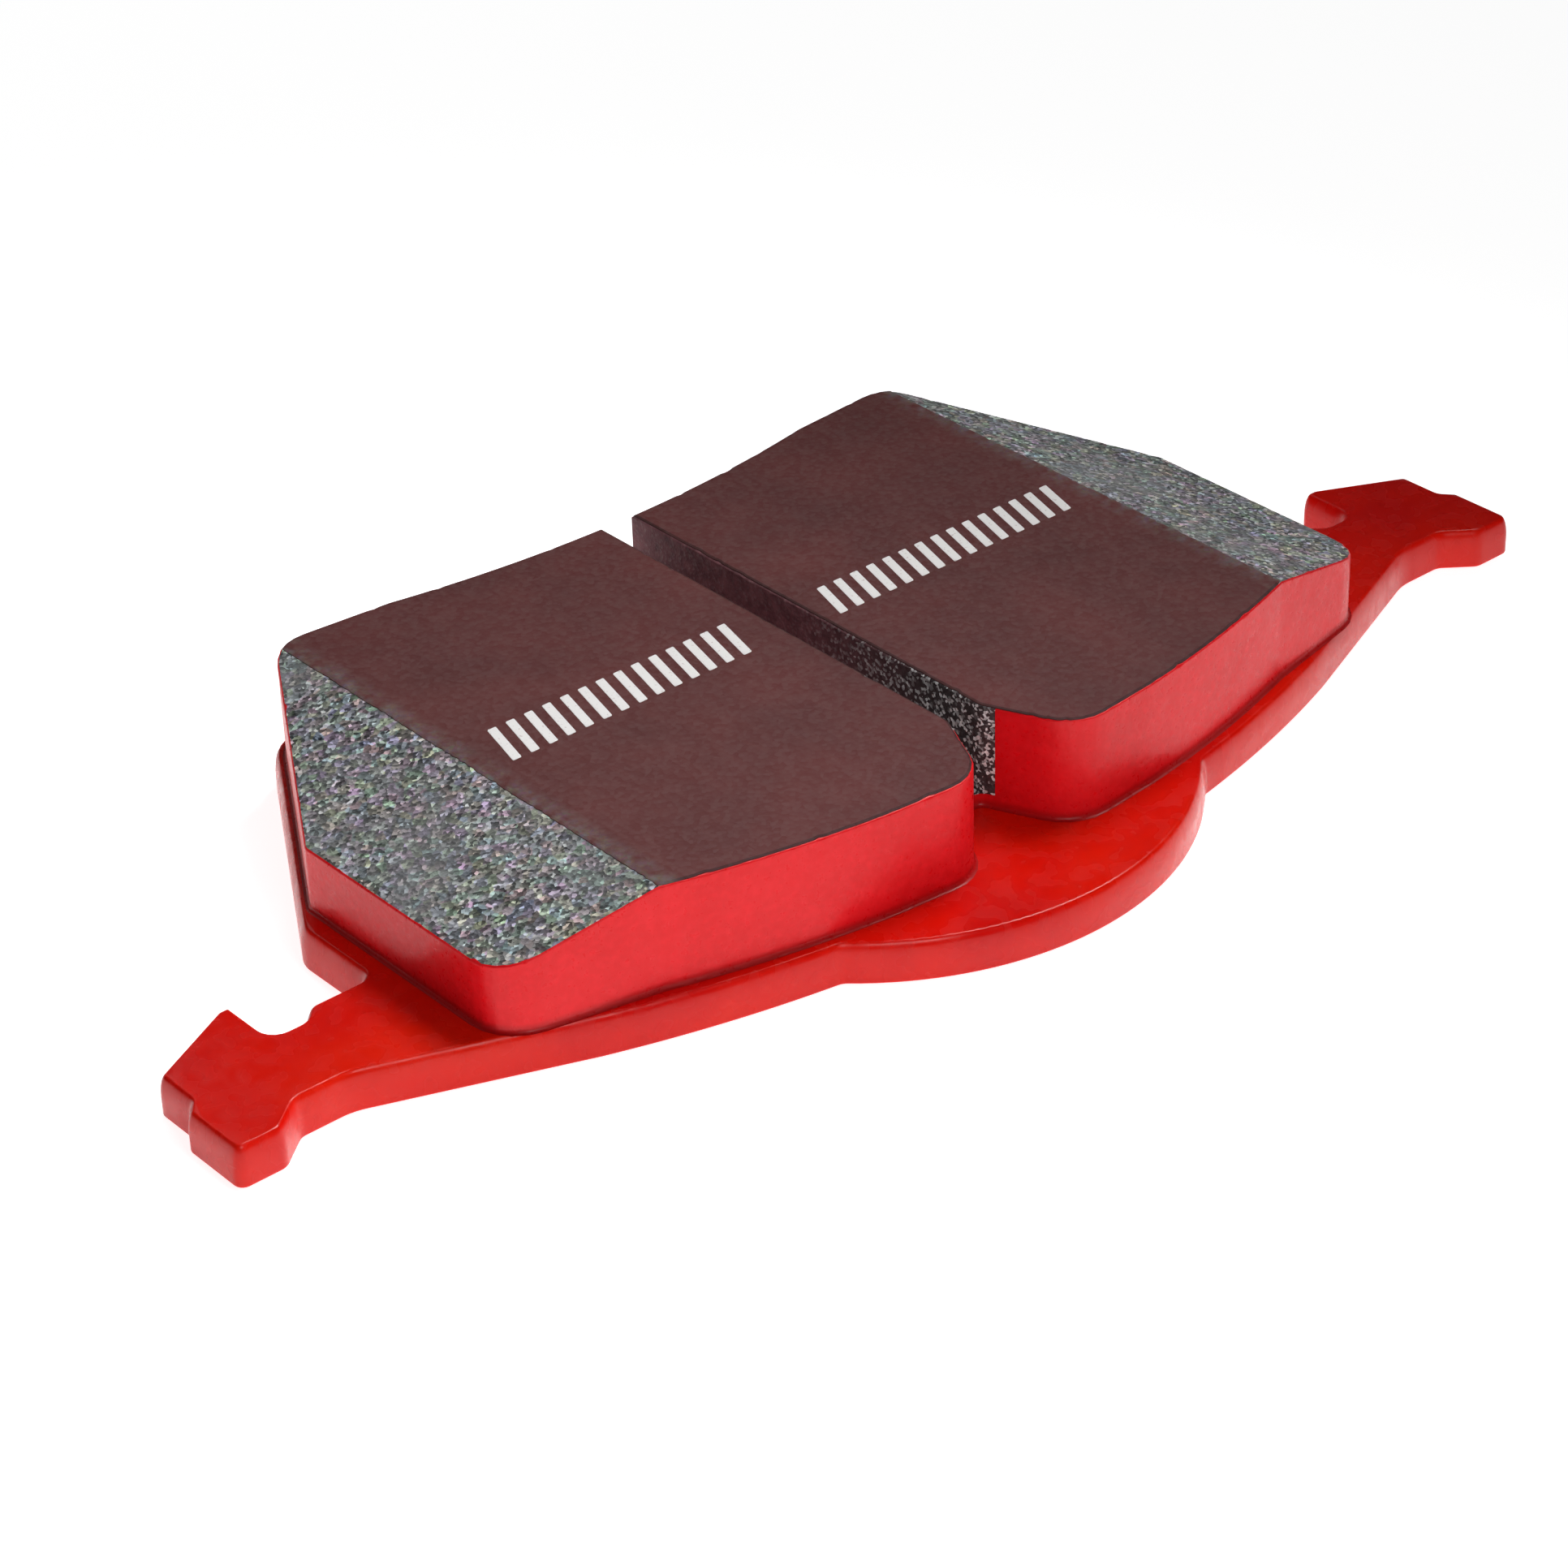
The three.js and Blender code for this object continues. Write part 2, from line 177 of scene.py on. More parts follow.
def rim_neighbours(mesh, level):
    """For each corner of a flat face's rim at that level, its two neighbours along the rim.

    A rim is where the flat face meets a wall, so one face at each of its edges is upright and the
    other one isn't.
    """
    upright_below = 0.5  # a normal with less height than this belongs to a wall
    neighbours = {}
    for edge in mesh.edges:
        flat = all(abs(corner.co.z - level) < WELD for corner in edge.verts)
        upright = [abs(face.normal.z) < upright_below for face in edge.link_faces]
        if flat and any(upright) and not all(upright):
            first, second = (corner.index for corner in edge.verts)
            neighbours.setdefault(first, []).append(second)
            neighbours.setdefault(second, []).append(first)
    return neighbours


def outlines_at(node, level):
    """Closed outlines where a CAD node's walls meet its flat face at that level, largest first.

    The largest runs anticlockwise and the others clockwise, so the material is always on the left.
    """
    mesh = bmesh.new()
    mesh.from_mesh(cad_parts[node].data)
    bmesh.ops.remove_doubles(mesh, verts=mesh.verts, dist=WELD)
    mesh.verts.index_update()
    mesh.verts.ensure_lookup_table()
    neighbours = rim_neighbours(mesh, level)
    outlines = []
    while neighbours:
        last = min(neighbours)
        here = neighbours[last][0]
        walk = [last]
        while here != walk[0]:
            walk.append(here)
            ahead = [corner for corner in neighbours[here] if corner != last]
            last = here
            here = ahead[0]
        for corner in walk:
            del neighbours[corner]
        outlines.append([mesh.verts[corner].co.xy.copy() for corner in walk])
    mesh.free()
    outlines.sort(key=lambda points: -abs(signed_area(points)))
    largest, *others = outlines
    return [anticlockwise(largest)] + [anticlockwise(points)[::-1] for points in others]


def refined(points):
    """The same outline with no two points further apart than the outline spacing."""
    fine = []
    for here, following in zip(points, points[1:] + points[:1]):
        steps = math.ceil((following - here).length / OUTLINE_SPACING)
        fine += [here.lerp(following, step / steps) for step in range(steps)]
    return fine


def inward_directions(points):
    """For each point of an outline, the step that moves both its edges in by one unit of length."""
    directions = []
    for last, here, following in zip(points[-1:] + points[:-1], points, points[1:] + points[:1]):
        before = (here - last).normalized()
        after = (following - here).normalized()
        inward = Vector((-before.y - after.y, before.x + after.x)).normalized()
        directions.append(inward / math.sqrt((1 + before.dot(after)) / 2))
    return directions


def drawn_in(points, inset):
    """An outline drawn into the material by an inset, which may be a function of the point."""
    return [
        here + direction * (inset(here) if callable(inset) else inset)
        for here, direction in zip(points, inward_directions(points))
    ]


def spans_inside(points, y):
    """Stretches of the line across an outline at y that lie inside it, each as (from x, to x)."""
    crossings = []
    for here, following in zip(points, points[1:] + points[:1]):
        if (here.y > y) != (following.y > y):
            share = (y - here.y) / (following.y - here.y)
            crossings.append(here.x + share * (following.x - here.x))
    crossings.sort()
    return list(zip(crossings[::2], crossings[1::2]))


# ---- Rings, skirts and faces. ----


def ring(mesh, points, level):
    """A ring of mesh corners at the points, on a level that may be a function of the point."""
    return [
        mesh.verts.new((*here, level(here) if callable(level) else level)) for here in points
    ]


def skirt(mesh, rings):
    """Joins each ring to the next with a belt of faces, and returns the faces."""
    faces = []
    for lower, upper in zip(rings, rings[1:]):
        count = len(lower)
        for i in range(count):
            j = (i + 1) % count
            faces.append(mesh.faces.new((lower[i], lower[j], upper[j], upper[i])))
    return faces


def flat_face(mesh, rings):
    """Closes the flat space between the first ring and the other rings inside it."""
    edges = []
    for corners in rings:
        for here, following in zip(corners, corners[1:] + corners[:1]):
            edges.append(mesh.edges.get((here, following)) or mesh.edges.new((here, following)))
    filled = bmesh.ops.triangle_fill(mesh, edges=edges, use_beauty=True, normal=UP)
    return [item for item in filled["geom"] if isinstance(item, bmesh.types.BMFace)]


def rounded_profile(bottom, top, bottom_round, top_round, top_drop=None):
    """(inset, level) pairs up the side of a slab, round its bottom and top edges.

    The top edge is part of an ellipse where the drop is given, and of a circle otherwise.
    """
    drop = top_drop or top_round
    lower_edge = [
        (bottom_round * (1 - math.sin(angle)), bottom + bottom_round * (1 - math.cos(angle)))
        for angle in QUARTER_TURN
    ]
    upper_edge = [
        (top_round * (1 - math.cos(angle)), top - drop * (1 - math.sin(angle)))
        for angle in QUARTER_TURN
    ]
    return lower_edge + upper_edge


def wall(mesh, points, profile):
    """Rings along an outline for each (inset, level) pair, joined up; returns the rings."""
    rings = [ring(mesh, drawn_in(points, inset), level) for inset, level in profile]
    skirt(mesh, rings)
    return rings


def stud(mesh, points, root, tip, rounding):
    """A stud that hangs from a flat face, with a rounded tip. Returns its ring at the root."""
    rings = wall(mesh, points, rounded_profile(tip, root, rounding, 0))
    flat_face(mesh, [rings[0]])
    return rings[-1]


def add_piece(name, mesh, materials, slot, *nodes):
    """Adds the mesh to the scene as a smoothly shaded piece that stands for the CAD nodes."""
    bmesh.ops.remove_doubles(mesh, verts=mesh.verts, dist=FINE_WELD)
    bmesh.ops.recalc_face_normals(mesh, faces=mesh.faces)
    data = bpy.data.meshes.new(name)
    mesh.to_mesh(data)
    mesh.free()
    data.shade_smooth()
    data.set_sharp_from_angle(angle=SMOOTH_ANGLE)
    for material in materials:
        data.materials.append(material)
    piece = bpy.data.objects.new(name, data)
    bpy.context.scene.collection.objects.link(piece)
    normals = piece.modifiers.new("even_normals", "WEIGHTED_NORMAL")
    normals.keep_sharp = True
    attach(piece, "root")
    if nodes:
        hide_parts(*nodes)


# ---- Materials. ----

# Nearly all of a noise lies between these two values.
NOISE_LOW = 0.3
NOISE_HIGH = 0.7


class Surface:
    """A material whose textures are measured in metres on the object itself."""

    def __init__(self, name, **constants):
        self.material = bpy.data.materials.new(name)
        self.material.use_nodes = True
        self.tree = self.material.node_tree
        self.shader = self.tree.nodes["Principled BSDF"]
        self.place = self.tree.nodes.new("ShaderNodeTexCoord").outputs["Object"]
        for socket, value in constants.items():
            self.feed(self.shader.inputs[socket.replace("_", " ")], value)

    def feed(self, socket, value):
        """Gives a socket another node's output, a colour or a number."""
        if isinstance(value, bpy.types.NodeSocket):
            self.tree.links.new(value, socket)
        elif isinstance(value, tuple):
            socket.default_value = (*value, 1)
        else:
            socket.default_value = value

    def noise(self, size, detail=2.0, stretch=(1, 1, 1)):
        """Soft random clouds of the given size, stretched by each factor along X, Y and Z."""
        mapping = self.tree.nodes.new("ShaderNodeMapping")
        mapping.inputs["Scale"].default_value = [1 / (size * factor) for factor in stretch]
        node = self.tree.nodes.new("ShaderNodeTexNoise")
        node.inputs["Scale"].default_value = 1
        node.inputs["Detail"].default_value = detail
        self.tree.links.new(self.place, mapping.inputs["Vector"])
        self.tree.links.new(mapping.outputs["Vector"], node.inputs["Vector"])
        return node.outputs["Fac"]

    def grains(self, size):
        """Packed grains of one size: each one's random colour, and the distance to its middle."""
        node = self.tree.nodes.new("ShaderNodeTexVoronoi")
        node.inputs["Scale"].default_value = 1 / size
        self.tree.links.new(self.place, node.inputs["Vector"])
        return node.outputs["Color"], node.outputs["Distance"]

    def along(self, axis):
        """Where a place is along one axis of the object."""
        split = self.tree.nodes.new("ShaderNodeSeparateXYZ")
        self.tree.links.new(self.place, split.inputs["Vector"])
        return split.outputs[axis]

    def absolute(self, value):
        """A value without its sign."""
        node = self.tree.nodes.new("ShaderNodeMath")
        node.operation = "ABSOLUTE"
        self.tree.links.new(value, node.inputs[0])
        return node.outputs["Value"]

    def channel(self, colour, name):
        """One channel of a colour."""
        node = self.tree.nodes.new("ShaderNodeSeparateColor")
        self.tree.links.new(colour, node.inputs["Color"])
        return node.outputs[name]

    def ramp(self, value, *stops):
        """The colour that goes with a value, between stops of (value, colour)."""
        node = self.tree.nodes.new("ShaderNodeValToRGB")
        elements = node.color_ramp.elements
        for element, (position, colour) in zip(elements, (stops[0], stops[-1])):
            element.position = position
            element.color = (*colour, 1)
        for position, colour in stops[1:-1]:
            elements.new(position).color = (*colour, 1)
        self.tree.links.new(value, node.inputs["Fac"])
        return node.outputs["Color"]

    def scale(self, value, low, high, from_low=0.0, from_high=1.0):
        """A value carried from one range to another and held inside it."""
        node = self.tree.nodes.new("ShaderNodeMapRange")
        node.inputs["From Min"].default_value = from_low
        node.inputs["From Max"].default_value = from_high
        node.inputs["To Min"].default_value = low
        node.inputs["To Max"].default_value = high
        self.tree.links.new(value, node.inputs["Value"])
        return node.outputs["Result"]

    def mix(self, share, first, second, blend="MIX"):
        """Two colours mixed by a share."""
        node = self.tree.nodes.new("ShaderNodeMixRGB")
        node.blend_type = blend
        self.feed(node.inputs["Fac"], share)
        self.feed(node.inputs["Color1"], first)
        self.feed(node.inputs["Color2"], second)
        return node.outputs["Color"]

    def relief(self, *layers):
        """Bumps the surface with layers of (height, depth), each on top of the one before."""
        normal = None
        for height, depth in layers:
            node = self.tree.nodes.new("ShaderNodeBump")
            node.inputs["Distance"].default_value = depth
            self.tree.links.new(height, node.inputs["Height"])
            if normal:
                self.tree.links.new(normal, node.inputs["Normal"])
            normal = node.outputs["Normal"]
        self.tree.links.new(normal, self.shader.inputs["Normal"])

    def finish(self, colour, roughness, metallic=0.0):
        """Connects the colour, roughness and metal share, and returns the material."""
        self.feed(self.shader.inputs["Base Color"], colour)
        self.feed(self.shader.inputs["Roughness"], roughness)
        self.feed(self.shader.inputs["Metallic"], metallic)
        return self.material


def grey(value):
    """A grey of the given brightness."""
    return (value, value, value)


def powder_coat():
    """Glossy red powder coat with a slight orange peel."""
    paint = Surface("red_powder_coat", IOR=1.33)
    clouds = paint.noise(14 * MM, detail=3)
    tone = paint.ramp(
        clouds,
        (NOISE_LOW, (0.56, 0.003, 0.002)),
        (0.5, (0.64, 0.005, 0.001)),
        (NOISE_HIGH, (0.70, 0.010, 0.001)),
    )
    dust = paint.noise(0.5 * MM, detail=1)
    colour = paint.mix(paint.scale(dust, 0, 0.2, 0.6, 0.8), tone, (0.78, 0.02, 0.01))
    peel = paint.noise(1.8 * MM, detail=1)
    waves = paint.noise(7 * MM, detail=1)
    paint.relief((waves, 0.18 * MM), (peel, 0.045 * MM))
    return paint.finish(colour, paint.scale(peel, 0.18, 0.34, NOISE_LOW, NOISE_HIGH))


def painted_compound():
    """Satin red paint over the pressed sides of the blocks, with painted shade in the crease at
    their foot.
    """
    paint = Surface("painted_compound", IOR=1.31)
    clouds = paint.noise(9 * MM, detail=3)
    tone = paint.ramp(clouds, (NOISE_LOW, (0.64, 0.004, 0.007)), (NOISE_HIGH, (0.74, 0.006, 0.011)))
    mottle = paint.noise(0.8 * MM, detail=3)
    mottled = paint.mix(paint.scale(mottle, 0, 0.5, 0.45, 0.7), tone, (0.80, 0.012, 0.020))
    # Painted shade: the paint darkens towards the crease where the blocks stand on the plate.
    crease_shade = paint.scale(paint.along("Z"), 0.75, 0, plate_top, plate_top + CREASE_SHADE_HEIGHT)
    colour = paint.mix(crease_shade, mottled, (0.22, 0.002, 0.002))
    grain = paint.noise(0.5 * MM, detail=1)
    lumps = paint.noise(4 * MM, detail=1)
    paint.relief((lumps, 0.12 * MM), (grain, 0.03 * MM))
    return paint.finish(colour, paint.scale(grain, 0.26, 0.42, NOISE_LOW, NOISE_HIGH))


def friction_compound():
    """Ground friction compound: grains of every brightness, with metal flecks."""
    compound = Surface("ground_compound", IOR=1.4)
    grain, spread = compound.grains(0.36 * MM)
    tone = compound.ramp(
        compound.channel(grain, "Red"),
        (0.0, grey(0.045)),
        (0.35, grey(0.17)),
        (0.8, grey(0.44)),
        (0.93, grey(0.75)),
        (1.0, grey(1.0)),
    )
    tint, _ = compound.grains(0.9 * MM)
    hue = compound.mix(0.5, grey(0.66), tint)
    tinted = compound.mix(0.6, tone, hue, "MULTIPLY")
    smeared = compound.scale(compound.noise(9 * MM, detail=2), 0, 0.45, 0.45, 0.65)
    colour = compound.mix(smeared, tinted, (0.20, 0.205, 0.21))
    fleck, _ = compound.grains(0.8 * MM)
    metal = compound.scale(compound.channel(fleck, "Green"), 0, 0.9, 0.93, 0.95)
    fine = compound.noise(0.3 * MM, detail=4)
    compound.relief((spread, 0.08 * MM), (fine, 0.08 * MM))
    return compound.finish(colour, compound.scale(fine, 0.4, 0.75, NOISE_LOW, NOISE_HIGH), metal)


def shaded_slot_compound():
    """Compound in the narrow slot, darkened with painted shade: near-black grit near the bite,
    under coat dust further in.
    """
    compound = Surface("shaded_slot_compound", IOR=1.4)
    grain, spread = compound.grains(0.28 * MM)
    grit = compound.ramp(
        compound.channel(grain, "Red"), (0.0, grey(0.012)), (0.65, grey(0.05)), (1.0, grey(1.0))
    )
    clouds = compound.noise(1.2 * MM, detail=2)
    dust = compound.ramp(clouds, (NOISE_LOW, (0.17, 0.06, 0.07)), (NOISE_HIGH, (0.30, 0.12, 0.135)))
    grit_end = -12 * MM
    dust_start = 6 * MM
    dusted = compound.scale(compound.along("Y"), 0.1, 0.95, grit_end, dust_start)
    colour = compound.mix(dusted, grit, dust)
    compound.relief((spread, 0.08 * MM))
    return compound.finish(colour, compound.scale(clouds, 0.55, 0.8))


def break_in_coat(name, lightness):
    """Matte maroon coat with the compound's grain in it, worn to grey dust beside the ramps."""
    coat = Surface(name, IOR=1.3)
    # A lightness below 1 makes a darker copy of the coat, used as painted shade.
    thin = [lightness * channel for channel in (0.133, 0.032, 0.030)]
    thick = [lightness * channel for channel in (0.099, 0.0255, 0.0245)]
    clouds = coat.noise(11 * MM, detail=3)
    tone = coat.ramp(clouds, (NOISE_LOW, thick), (NOISE_HIGH, thin))
    grain, spread = coat.grains(0.5 * MM)
    grit = coat.ramp(coat.channel(grain, "Red"), (0, grey(0.01)), (1, grey(0.14 * lightness)))
    grained = coat.mix(0.14, tone, grit)
    streaks = coat.noise(0.7 * MM, detail=2, stretch=(1, 6, 1))
    brushed = coat.mix(coat.scale(streaks, 0, 0.2, 0.5, 0.75), grained, (0.16, 0.06, 0.055))
    grey_dust = (0.21, 0.185, 0.18)
    bare, _ = coat.grains(0.36 * MM)
    speckled = coat.mix(0.4, grey_dust, coat.mix(1, bare, grey_dust, "MULTIPLY"))
    worn = coat.scale(coat.absolute(coat.along("X")), 0, 0.75, land_end - COAT_FADE, land_end)
    patches = coat.scale(coat.noise(1.6 * MM, detail=3), 0, 1, 0.35, 0.65)
    colour = coat.mix(coat.mix(1, worn, patches, "MULTIPLY"), brushed, speckled)
    coat.relief((spread, 0.03 * MM), (streaks, 0.02 * MM))
    return coat.finish(colour, coat.scale(spread, 0.62, 0.78))


def printed_ink():
    """White ink, a little worn where the coat's grain stands up."""
    ink = Surface("white_ink", IOR=1.45)
    grain = ink.noise(0.35 * MM, detail=3)
    worn = ink.scale(grain, 0, 0.5, 0.62, 0.72)
    colour = ink.mix(worn, (0.86, 0.84, 0.83), (0.35, 0.2, 0.2))
    ink.relief((grain, 0.02 * MM))
    return ink.finish(colour, ink.scale(grain, 0.5, 0.65))


def rubber_coat():
    """Dark rubber skin of the shim, with a fine pebbled grain."""
    rubber = Surface("shim_rubber_coat", IOR=1.5)
    pebbles, spread = rubber.grains(0.45 * MM)
    clouds = rubber.noise(12 * MM, detail=3)
    tone = rubber.ramp(clouds, (NOISE_LOW, grey(0.018)), (NOISE_HIGH, grey(0.034)))
    colour = rubber.mix(0.08, tone, pebbles)
    rubber.relief((spread, 0.05 * MM))
    return rubber.finish(colour, rubber.scale(clouds, 0.5, 0.66))


def brushed_steel():
    """Cold-rolled steel with long fine scratches."""
    steel = Surface("shim_steel", Anisotropic=0.4)
    scratches = steel.noise(0.15 * MM, detail=3, stretch=(80, 1, 1))
    dull = (0.42, 0.43, 0.44)
    bright = (0.58, 0.59, 0.60)
    colour = steel.ramp(scratches, (NOISE_LOW, dull), (NOISE_HIGH, bright))
    steel.relief((scratches, 0.01 * MM))
    return steel.finish(colour, steel.scale(scratches, 0.28, 0.42), 1.0)


def adhesive():
    """Hazy film of cured adhesive."""
    film = Surface("shim_adhesive_film", IOR=1.48)
    clouds = film.noise(3 * MM, detail=4)
    colour = film.ramp(clouds, (NOISE_LOW, (0.22, 0.18, 0.11)), (NOISE_HIGH, (0.34, 0.29, 0.19)))
    film.relief((clouds, 0.04 * MM))
    return film.finish(colour, film.scale(clouds, 0.45, 0.7))


# ---- Pieces. ----


def backing_plate(paint):
    """Blanked steel plate with a rolled top edge, keying holes, and pips that hold the shim."""
    mesh = bmesh.new()
    outer, *holes = outlines_at("backing_plate", plate_top)
    outer_profile = rounded_profile(
        plate_bottom, plate_top, PLATE_BOTTOM_ROUND, PLATE_ROLL, PLATE_ROLL_DROP
    )
    outer_wall = wall(mesh, refined(outer), outer_profile)
    hole_profile = rounded_profile(plate_bottom, plate_top, HOLE_ROUND, HOLE_ROUND)
    hole_walls = [wall(mesh, hole, hole_profile) for hole in holes]
    pips = [
        stud(mesh, anticlockwise(pip), plate_bottom, plate_low.z, PIP_ROUND)
        for pip in outlines_at("backing_plate", plate_low.z)
    ]
    flat_face(mesh, [outer_wall[0], *[rings[0] for rings in hole_walls], *pips])
    flat_face(mesh, [outer_wall[-1], *[rings[-1] for rings in hole_walls]])
    add_piece("plate", mesh, [paint], "plate_paint", "backing_plate")


def underlayer(painted, slot_shade):
    """Bonding layer under the blocks, with its keys. Paint gathers in a fillet round its foot."""
    mesh = bmesh.new()
    outer = outlines_at("underlayer", underlayer_high.z)[0]
    fillet = [
        (BASE_FILLET * (math.sin(angle) - 1), plate_top + BASE_FILLET * (1 - math.cos(angle)))
        for angle in QUARTER_TURN
    ]
    side = wall(mesh, refined(outer), [*fillet, (0, underlayer_high.z)])
    keys = [
        stud(mesh, anticlockwise(key), plate_top, underlayer_low.z, KEY_ROUND)
        for key in outlines_at("underlayer", underlayer_low.z)
    ]
    flat_face(mesh, [side[0], *keys])
    materials = [painted, slot_shade]
    # The top shows only as the slot's floor, so it takes the slot's compound darkened with painted
    # shade.
    for face in flat_face(mesh, [side[-1]]):
        face.material_index = materials.index(slot_shade)
    add_piece("bonding_layer", mesh, materials, "underlayer_compound", "underlayer")


def rim_width(point):
    """How far a block's worn rim reaches in from its edge: a fine line, wider at its chips."""
    chip = noise.noise(Vector((*point, 0)) / CHIP_SIZE)
    return RIM_WIDTH + RIM_CHIP * max(0, chip - CHIP_START)


def net_points(outline):
    """Points of a square net inside an outline, with one column along the crease to the ramp."""
    crease_x = math.copysign(land_end, outline[0].x)
    low = min(point.y for point in outline)
    rows = math.ceil((max(point.y for point in outline) - low) / GROUND_SPACING)
    points = []
    for row in range(1, rows):
        y = low + row * GROUND_SPACING
        for start, end in spans_inside(outline, y):
            first = math.ceil((start - crease_x) / GROUND_SPACING)
            last = math.floor((end - crease_x) / GROUND_SPACING)
            for column in range(first, last + 1):
                points.append(Vector((crease_x + column * GROUND_SPACING, y)))
    return points


def ground_face(mesh, rim):
    """Closes a block's top inside its rim with triangles that follow the pitted ground top."""
    outline = [corner.co.xy.copy() for corner in rim]
    points = net_points(drawn_in(outline, GROUND_MARGIN))
    count = len(rim)
    edges = [(i, (i + 1) % count) for i in range(count)]
    keep_inside = 1
    places, _, triangles, origins, _, _ = delaunay_2d_cdt(
        outline + points, edges, [], keep_inside, FINE_WELD
    )
    corners = []
    for place, origin in zip(places, origins):
        if origin and origin[0] < count:
            corners.append(rim[origin[0]])
        else:
            pit = GROUND_PIT * max(0, noise.noise(Vector((*place, 0)) / GROUND_SPACING))
            corners.append(mesh.verts.new((*place, ground_height(place) - pit)))
    return [mesh.faces.new([corners[i] for i in triangle]) for triangle in triangles]


def friction_block(side, painted, bare, slot_shade):
    """Friction block with painted sides, slot walls darkened with painted shade, a chipped rim and
    a bare top.
    """
    node = "friction_block_" + side
    mesh = bmesh.new()
    outer = refined(outlines_at(node, underlayer_high.z)[0])
    rings = [
        ring(mesh, outer, underlayer_high.z),
        ring(mesh, outer, lambda point: ground_height(point) - rim_width(point)),
    ]
    for share, drop in ((RIM_KNEE, RIM_KNEE_DROP), (1, 0)):
        inset = drawn_in(outer, lambda point: share * rim_width(point))
        rings.append(ring(mesh, inset, lambda point: ground_height(point) - drop))
    materials = [painted, bare, slot_shade]
    slot_reach = slot_edge + WELD + RIM_WIDTH + RIM_CHIP
    for face in skirt(mesh, rings):
        # Walls in the slot take the compound darkened with painted shade.
        in_slot = abs(face.calc_center_median().x) < slot_reach
        face.material_index = materials.index(slot_shade if in_slot else painted)
    for face in ground_face(mesh, rings[-1]) + flat_face(mesh, [rings[0]]):
        face.material_index = materials.index(bare)
    add_piece("block_" + side, mesh, materials, "friction_compound", node)


def on_land(point):
    """Whether a point of a block's rim lies on the flat land, clear of the crease to the ramp."""
    return abs(point.x) < land_end - CREASE_SPACING


def land_outline(side):
    """Outline of the coat on one block: along the land's rim, and raggedly along the crease."""
    outer = outlines_at("friction_block_" + side, underlayer_high.z)[0]
    rim = drawn_in(refined(outer), rim_width)
    first = next(i for i, here in enumerate(rim) if on_land(here) and not on_land(rim[i - 1]))
    land = [point for point in rim[first:] + rim[:first] if on_land(point)]
    crease_x = math.copysign(land_end, land[0].x)
    steps = round(abs(land[0].y - land[-1].y) / CREASE_SPACING)
    crease = []
    for step in range(1, steps):
        y = land[-1].y + (land[0].y - land[-1].y) * step / steps
        ragged = COAT_RAGGED * abs(noise.noise(Vector((0, y, 0)) / CHIP_SIZE))
        crease.append(Vector((crease_x - math.copysign(ragged, crease_x), y)))
    return land + crease


def coat_on_land(side, coating, shaded_coat_edge):
    """Break-in coat on the land of one block, with its sloping edge along the rim darkened as
    painted shade.
    """
    mesh = bmesh.new()
    profile = [(0, coat_low.z), (0, coat_top - COAT_EDGE_DROP), (COAT_EDGE, coat_top)]
    rings = wall(mesh, land_outline(side), profile)
    materials = [coating, shaded_coat_edge]
    for face in mesh.faces:
        at_crease = abs(face.calc_center_median().x) > land_end - COAT_RAGGED - COAT_EDGE
        face.material_index = materials.index(coating if at_crease else shaded_coat_edge)
    flat_face(mesh, [rings[0]])
    flat_face(mesh, [rings[-1]])
    slot = "break_in_coat"
    add_piece("coat_" + side, mesh, materials, slot, slot + "_" + side)


def rounded_corners(points, radius):
    """A polygon with its corners cut round to the radius."""
    rounded = []
    for last, here, following in zip(points[-1:] + points[:-1], points, points[1:] + points[:1]):
        start = here + (last - here).normalized() * radius
        end = here + (following - here).normalized() * radius
        for step in range(ROUND_STEPS + 1):
            share = step / ROUND_STEPS
            rounded.append(start.lerp(here, share).lerp(here.lerp(end, share), share))
    return rounded


def printed_bars(side, material):
    """A row of plain leaning bars printed on the coat of one block."""
    mesh = bmesh.new()
    row = BAR_ROWS[side]
    near = slot_edge + row["to_slot"]
    far = land_end - row["to_ramp"]
    start = -far if side == "left" else near
    count = math.floor((far - near - BAR_WIDTH - BAR_LEAN) / BAR_PITCH) + 1
    for i in range(count):
        x = start + i * BAR_PITCH
        corners = [
            Vector((x, row["low"])),
            Vector((x + BAR_WIDTH, row["low"])),
            Vector((x + BAR_WIDTH + BAR_LEAN, row["high"])),
            Vector((x + BAR_LEAN, row["high"])),
        ]
        outline = rounded_corners(corners, BAR_CORNER)
        rings = wall(mesh, outline, [(0, coat_top), (INK_SLOPE, ink_top)])
        flat_face(mesh, [rings[0]])
        flat_face(mesh, [rings[-1]])
    add_piece("printed_bars_" + side, mesh, [material], "print_ink")


def shim_layer(name, node, slot, material):
    """One layer of the shim, with its two holes for the pips."""
    mesh = bmesh.new()
    low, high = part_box(node)
    profile = rounded_profile(low.z, high.z, SHIM_ROUND, SHIM_ROUND)
    outer, *holes = outlines_at(node, high.z)
    walls = [wall(mesh, points, profile) for points in [refined(outer), *holes]]
    flat_face(mesh, [rings[0] for rings in walls])
    flat_face(mesh, [rings[-1] for rings in walls])
    add_piece(name, mesh, [material], slot, node)


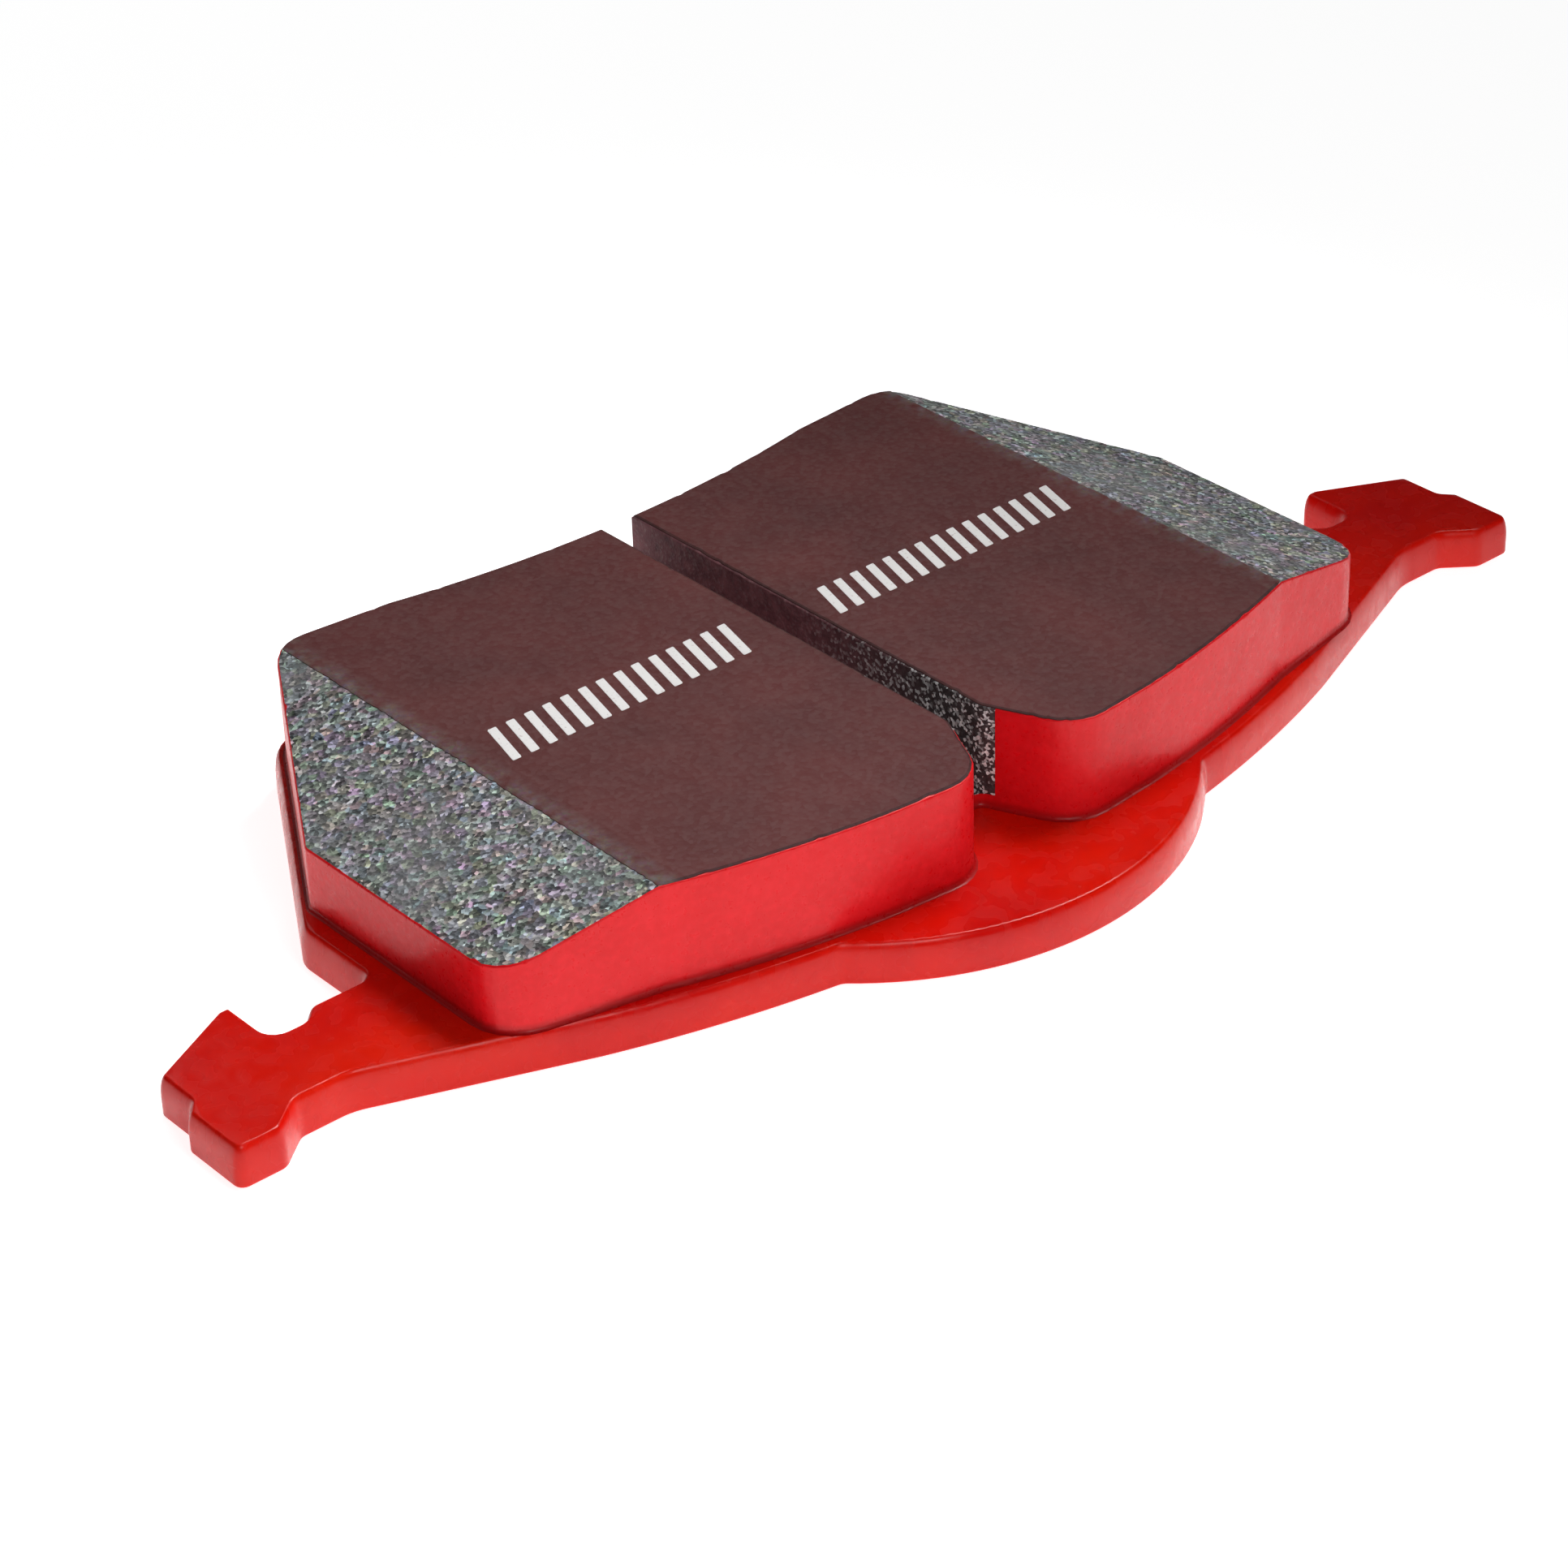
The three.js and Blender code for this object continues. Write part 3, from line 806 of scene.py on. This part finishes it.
def build_pad():
    """Makes every piece of the pad, with its materials."""
    painted = painted_compound()
    bare = friction_compound()
    slot_shade = shaded_slot_compound()
    backing_plate(powder_coat())
    underlayer(painted, slot_shade)
    coating = break_in_coat("maroon_coat", 1)
    # The coat's sloping edge: the same coat darkened as painted shade.
    shaded_coat_edge = break_in_coat("maroon_coat_edge", 0.45)
    ink = printed_ink()
    for side in ("left", "right"):
        friction_block(side, painted, bare, slot_shade)
        coat_on_land(side, coating, shaded_coat_edge)
        printed_bars(side, ink)
    shim_layer("shim_film", "shim_adhesive", "shim_adhesive", adhesive())
    shim_layer("shim_plate", "shim_core", "shim_steel", brushed_steel())
    shim_layer("shim_skin", "shim_cover", "shim_rubber", rubber_coat())


# ---- Studio. ----


def outward(azimuth, elevation):
    """Direction away from the pad for angles in radians, where azimuth 0 is towards -Y."""
    flat = math.cos(elevation)
    return Vector((math.sin(azimuth) * flat, -math.cos(azimuth) * flat, math.sin(elevation)))


def add_camera():
    """Places the camera on a sphere round its target, looking in, and rolls it."""
    back = outward(CAMERA_AZIMUTH, CAMERA_ELEVATION)
    right = Vector((math.cos(CAMERA_AZIMUTH), math.sin(CAMERA_AZIMUTH), 0))
    level = Matrix((right, back.cross(right), back)).transposed()
    turn = level @ Matrix.Rotation(CAMERA_ROLL, 3, "Z")
    data = bpy.data.cameras.new("camera")
    data.lens = CAMERA_LENS
    data.sensor_width = CAMERA_SENSOR
    data.clip_start = CAMERA_DISTANCE / 10
    data.clip_end = CAMERA_DISTANCE * 100
    camera = bpy.data.objects.new("camera", data)
    camera.matrix_world = Matrix.Translation(CAMERA_TARGET + back * CAMERA_DISTANCE) @ turn.to_4x4()
    bpy.context.scene.collection.objects.link(camera)
    bpy.context.scene.camera = camera


def add_softbox(name, azimuth, elevation, distance, size, radiance, aim=(0, 0), spread=180):
    """A square soft light round the pad, placed by angles in degrees.

    It faces a point of the floor, and shines within its spread.
    """
    data = bpy.data.lights.new(name, "AREA")
    data.size = size
    data.spread = math.radians(spread)
    data.energy = radiance * math.pi * size * size
    light = bpy.data.objects.new(name, data)
    light.location = outward(math.radians(azimuth), math.radians(elevation)) * distance
    facing = light.location - Vector((*aim, 0))
    light.rotation_euler = facing.to_track_quat("Z", "Y").to_euler()
    bpy.context.scene.collection.objects.link(light)


def add_floor():
    """Plain near-white floor that lights the pad a little from below."""
    level = cad_box[0].z - FLOOR_GAP
    bpy.ops.mesh.primitive_plane_add(size=FLOOR_SIZE, location=(0, 0, level))
    floor = bpy.context.object
    floor.name = "floor"
    surface = Surface("pale_floor", Emission_Color=grey(1.0), Emission_Strength=FLOOR_GLOW)
    floor.data.materials.append(surface.finish(grey(0.82), 0.9))


def add_world():
    """Pale room: bright at the horizon, dimmer overhead."""
    world = bpy.data.worlds.new("room")
    world.use_nodes = True
    tree = world.node_tree
    place = tree.nodes.new("ShaderNodeTexCoord").outputs["Generated"]
    split = tree.nodes.new("ShaderNodeSeparateXYZ")
    ramp = tree.nodes.new("ShaderNodeValToRGB")
    horizon, overhead = ramp.color_ramp.elements
    horizon.color = (*grey(HORIZON_LIGHT), 1)
    overhead.color = (*grey(OVERHEAD_LIGHT), 1)
    overhead.position = OVERHEAD_FROM
    tree.links.new(place, split.inputs["Vector"])
    tree.links.new(split.outputs["Z"], ramp.inputs["Fac"])
    tree.links.new(ramp.outputs["Color"], tree.nodes["Background"].inputs["Color"])
    bpy.context.scene.world = world


add_camera()
build_pad()
add_floor()
add_world()
add_softbox("front", azimuth=-25, elevation=35, distance=0.25, size=0.1, radiance=5.3)
add_softbox("back", azimuth=180, elevation=45, distance=0.45, size=0.22, radiance=0.8)
add_softbox(
    "top",
    azimuth=90,
    elevation=65,
    distance=0.3,
    size=0.14,
    radiance=2.0,
    aim=(-0.09, -0.025),
    spread=60,
)
bpy.context.scene.view_settings.view_transform = "Standard"
